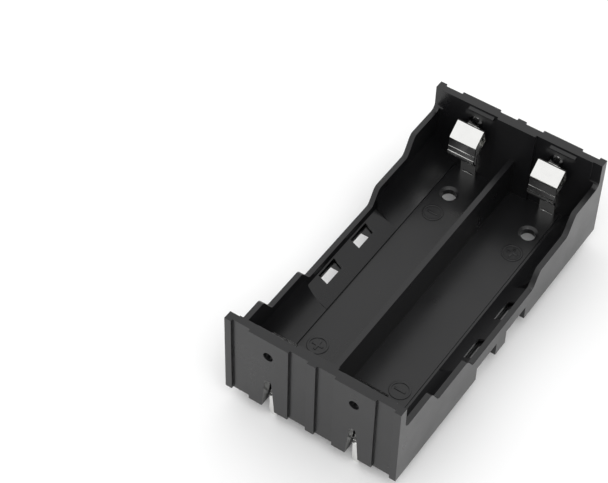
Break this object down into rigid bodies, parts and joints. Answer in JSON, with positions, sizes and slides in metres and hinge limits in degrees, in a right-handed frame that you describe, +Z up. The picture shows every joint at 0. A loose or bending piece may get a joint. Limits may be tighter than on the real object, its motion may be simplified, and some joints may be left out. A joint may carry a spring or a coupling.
{
  "type": "cylindrical cell holder",
  "caption": "Moulded open-top holder with two side-by-side bays for cylindrical cells, folded spring contacts and solder pins for a circuit board.",
  "frame": {"origin": "centre of the flat underside", "axes": "+X across the bays, +Y along the cells, +Z up and out of the open bays"},
  "size_m": [0.04, 0.0786, 0.0254],
  "materials": {
    "black_plastic": "satin moulded black plastic",
    "plated_strip": "bright nickel-plated spring strip"
  },
  "bodies": {
    "housing": {"holder_body": "black_plastic"},
    "near_left_spring": {"contact_near_left": "plated_strip"},
    "near_right_spring": {"contact_near_right": "plated_strip"},
    "far_left_spring": {"contact_far_left": "plated_strip"},
    "far_right_spring": {"contact_far_right": "plated_strip"}
  },
  "joints": [
    {"name": "near_left_flex", "type": "hinge", "parent": "housing", "child": "near_left_spring", "pos_m": [-0.0098, -0.0367, 0.0018], "axis": [1, 0, 0], "range_deg": [0, 4], "stiffness_Nm_per_rad": 0.5},
    {"name": "near_right_flex", "type": "hinge", "parent": "housing", "child": "near_right_spring", "pos_m": [0.0098, -0.0367, 0.0018], "axis": [1, 0, 0], "range_deg": [0, 4], "stiffness_Nm_per_rad": 0.5},
    {"name": "far_left_flex", "type": "hinge", "parent": "housing", "child": "far_left_spring", "pos_m": [-0.0098, 0.0367, 0.0018], "axis": [-1, 0, 0], "range_deg": [0, 4], "stiffness_Nm_per_rad": 0.5},
    {"name": "far_right_flex", "type": "hinge", "parent": "housing", "child": "far_right_spring", "pos_m": [0.0098, 0.0367, 0.0018], "axis": [-1, 0, 0], "range_deg": [0, 4], "stiffness_Nm_per_rad": 0.5}
  ]
}
